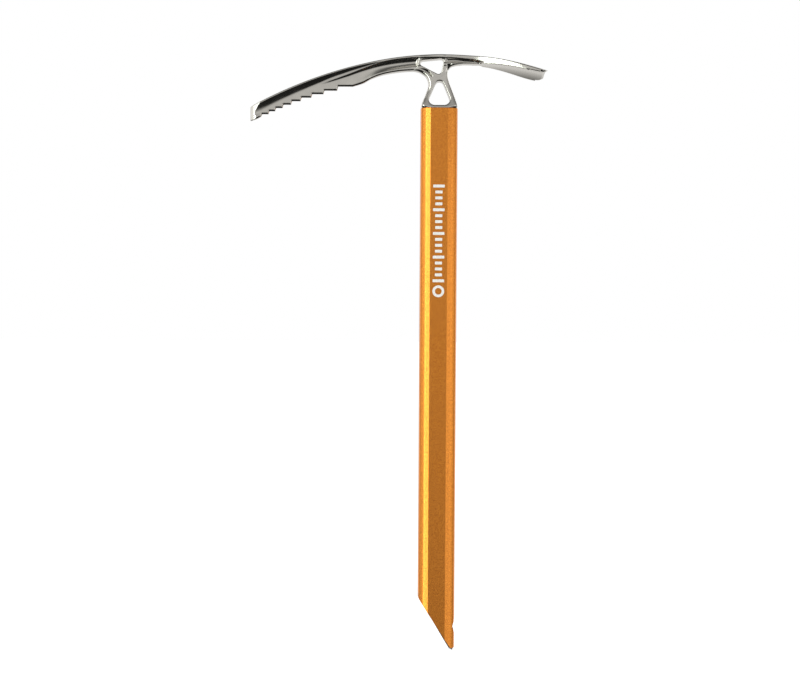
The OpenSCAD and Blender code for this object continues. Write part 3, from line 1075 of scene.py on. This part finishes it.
# Metres and millimetres of lens, worked out from the shaft's taper and the adze's visible underside
CAMERA_PLACE = (-0.03472, -1.24845, -0.19462)
CAMERA_TIP = math.radians(1.7)
CAMERA_ROLL = math.radians(0.33)
CAMERA_LENS = 60.84
CAMERA_SENSOR = 36
LIGHT_TARGET = (0, 0, -0.15)
FLOOR_DROP = 0.0006
FLOOR_HALF = 12
SURROUND_R = 20


def aim(thing, place, target):
    thing.location = place
    thing.rotation_mode = "QUATERNION"
    thing.rotation_quaternion = (Vector(target) - Vector(place)).to_track_quat("-Z", "Y")


def make_camera():
    """Level with the middle of the shaft, looking at its broad side, tipped down and rolled a little."""
    forward = Vector((0, math.cos(CAMERA_TIP), -math.sin(CAMERA_TIP)))
    up = Vector((0, math.sin(CAMERA_TIP), math.cos(CAMERA_TIP)))
    side = Vector((1, 0, 0))
    right = side * math.cos(CAMERA_ROLL) + up * math.sin(CAMERA_ROLL)
    above = up * math.cos(CAMERA_ROLL) - side * math.sin(CAMERA_ROLL)
    camera = bpy.data.objects.new("camera", bpy.data.cameras.new("camera"))
    bpy.context.scene.collection.objects.link(camera)
    turn = Matrix((right, above, -forward)).transposed()
    camera.rotation_mode = "QUATERNION"
    camera.rotation_quaternion = turn.to_quaternion()
    camera.location = CAMERA_PLACE
    camera.data.sensor_width = CAMERA_SENSOR
    camera.data.lens = CAMERA_LENS
    camera.data.clip_start = 0.05
    camera.data.clip_end = 50
    bpy.context.scene.camera = camera


def soft_box(name, azimuth, height, distance, wide, tall, power, colour=(1, 1, 1)):
    """A rectangular studio light that faces the axe. Azimuth 0 is in front, 90 on the adze side."""
    light = bpy.data.lights.new(name, "AREA")
    light.shape = "RECTANGLE"
    light.size = wide
    light.size_y = tall
    light.energy = power
    light.color = colour
    box = bpy.data.objects.new(name, light)
    bpy.context.scene.collection.objects.link(box)
    a = math.radians(azimuth)
    place = (distance * math.sin(a), -distance * math.cos(a), height)
    aim(box, place, LIGHT_TARGET)
    box.visible_camera = False


def stage_material(name, colour, strength):
    material = bpy.data.materials.new(name)
    material.use_nodes = True
    shader = material.node_tree.nodes["Principled BSDF"]
    shader.inputs["Base Color"].default_value = (*colour, 1)
    shader.inputs["Roughness"].default_value = 0.9
    shader.inputs["Specular IOR Level"].default_value = 0.0
    shader.inputs["Emission Color"].default_value = (1, 1, 1, 1)
    shader.inputs["Emission Strength"].default_value = strength
    return material


def make_stage():
    """A pale floor just under the spike, which the metal doesn't mirror, and a white surround that
    only the camera sees."""
    floor_z = CAD_BOX[0].z - FLOOR_DROP
    mesh = bpy.data.meshes.new("floor")
    half = FLOOR_HALF
    corners = [(x, y, floor_z) for x, y in ((-half, -half), (half, -half), (half, half), (-half, half))]
    mesh.from_pydata(corners, [], [(0, 1, 2, 3)])
    floor = link("floor", mesh)
    wear(floor, stage_material("pale_floor", (0.9, 0.9, 0.9), 0.85))
    floor.visible_glossy = False
    bm = bmesh.new()
    bmesh.ops.create_icosphere(bm, subdivisions=4, radius=SURROUND_R)
    surround_mesh = bpy.data.meshes.new("surround")
    bm.to_mesh(surround_mesh)
    bm.free()
    surround = link("surround", surround_mesh)
    wear(surround, stage_material("white_surround", (0, 0, 0), 1.0))
    surround.visible_diffuse = False
    surround.visible_glossy = False
    surround.visible_transmission = False
    surround.visible_shadow = False


# Brightness of the studio by height in front of the axe and behind it: sine of the elevation, level
LIGHT_IN_FRONT = [
    (-1, 0.012), (-0.36, 0.015), (-0.23, 0.30), (0.13, 0.52), (0.2, 0.56), (0.34, 0.60),
    (0.6, 0.30), (0.82, 0.10), (1, 0.08),
]
LIGHT_BEHIND = [
    (-1, 0.012), (-0.8, 0.03), (-0.55, 0.42), (-0.3, 0.72), (0.3, 0.75), (0.7, 0.35), (1, 0.08),
]


def make_world():
    """Soft light from all round: dark below and dim above, brightest near the horizon."""
    world = bpy.data.worlds.new("studio")
    bpy.context.scene.world = world
    world.use_nodes = True
    tree = world.node_tree
    place = tree.nodes.new("ShaderNodeTexCoord")
    split = tree.nodes.new("ShaderNodeSeparateXYZ")
    tree.links.new(place.outputs["Generated"], split.inputs[0])

    def spread(socket, low, high):
        node = tree.nodes.new("ShaderNodeMapRange")
        node.inputs["From Min"].default_value = low
        node.inputs["From Max"].default_value = high
        tree.links.new(split.outputs[socket], node.inputs["Value"])
        return node.outputs[0]

    def levels(stops):
        node = tree.nodes.new("ShaderNodeValToRGB")
        tree.links.new(spread("Z", -1.0, 1.0), node.inputs["Fac"])
        elements = node.color_ramp.elements
        while len(elements) < len(stops):
            elements.new(0.5)
        for element, (sine, level) in zip(elements, stops):
            element.position = (sine + 1) / 2
            element.color = (level, level * 0.985, level * 0.955, 1)
        return node.outputs["Color"]

    mix = tree.nodes.new("ShaderNodeMix")
    mix.data_type = "RGBA"
    tree.links.new(spread("Y", -0.15, 0.35), mix.inputs["Factor"])
    tree.links.new(levels(LIGHT_IN_FRONT), mix.inputs["A"])
    tree.links.new(levels(LIGHT_BEHIND), mix.inputs["B"])
    tree.links.new(mix.outputs["Result"], tree.nodes["Background"].inputs["Color"])


def make_lights():
    """Azimuth, height, distance, width and height of each soft box, then its power and colour."""
    soft_box("left_wide", -62, 0.1, 2.2, 1.2, 2.6, 4.5)
    soft_box("left_core", -39, -0.1, 2.15, 0.4, 2.6, 14.5, (0.92, 1.0, 0.9))
    soft_box("right_wide", 46, -0.7, 2.2, 0.9, 2.0, 4.3)
    soft_box("right_back", 140, 0.1, 2.2, 0.8, 2.6, 6)
    soft_box("left_back", -130, 0.1, 2.2, 0.6, 2.6, 4)


# --- Assembly ---------------------------------------------------------------------------


def stand_for(piece, node, material):
    """Puts a detailed piece in the place of a CAD node."""
    wear(piece, material)
    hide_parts(node)
    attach(piece, "root")


make_camera()
make_stage()
make_world()
make_lights()

stand_for(make_head(), "head", cast_steel())
stand_for(make_tube(), "shaft_tube", orange_anodised())
stand_for(make_spike(), "spike_insert", dark_spike_steel())
plug = make_plug()
stand_for(plug, "shaft_plug", closed_cell_foam())

printed = make_print()
wear(printed, white_print())
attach(printed, "root")

wear(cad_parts["head_bond"], cured_epoxy())
wear(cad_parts["head_pins"], ground_steel())
wear(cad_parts["spike_rivets"], ground_steel("ground_rivets"))

bpy.context.scene.view_settings.view_transform = "Standard"
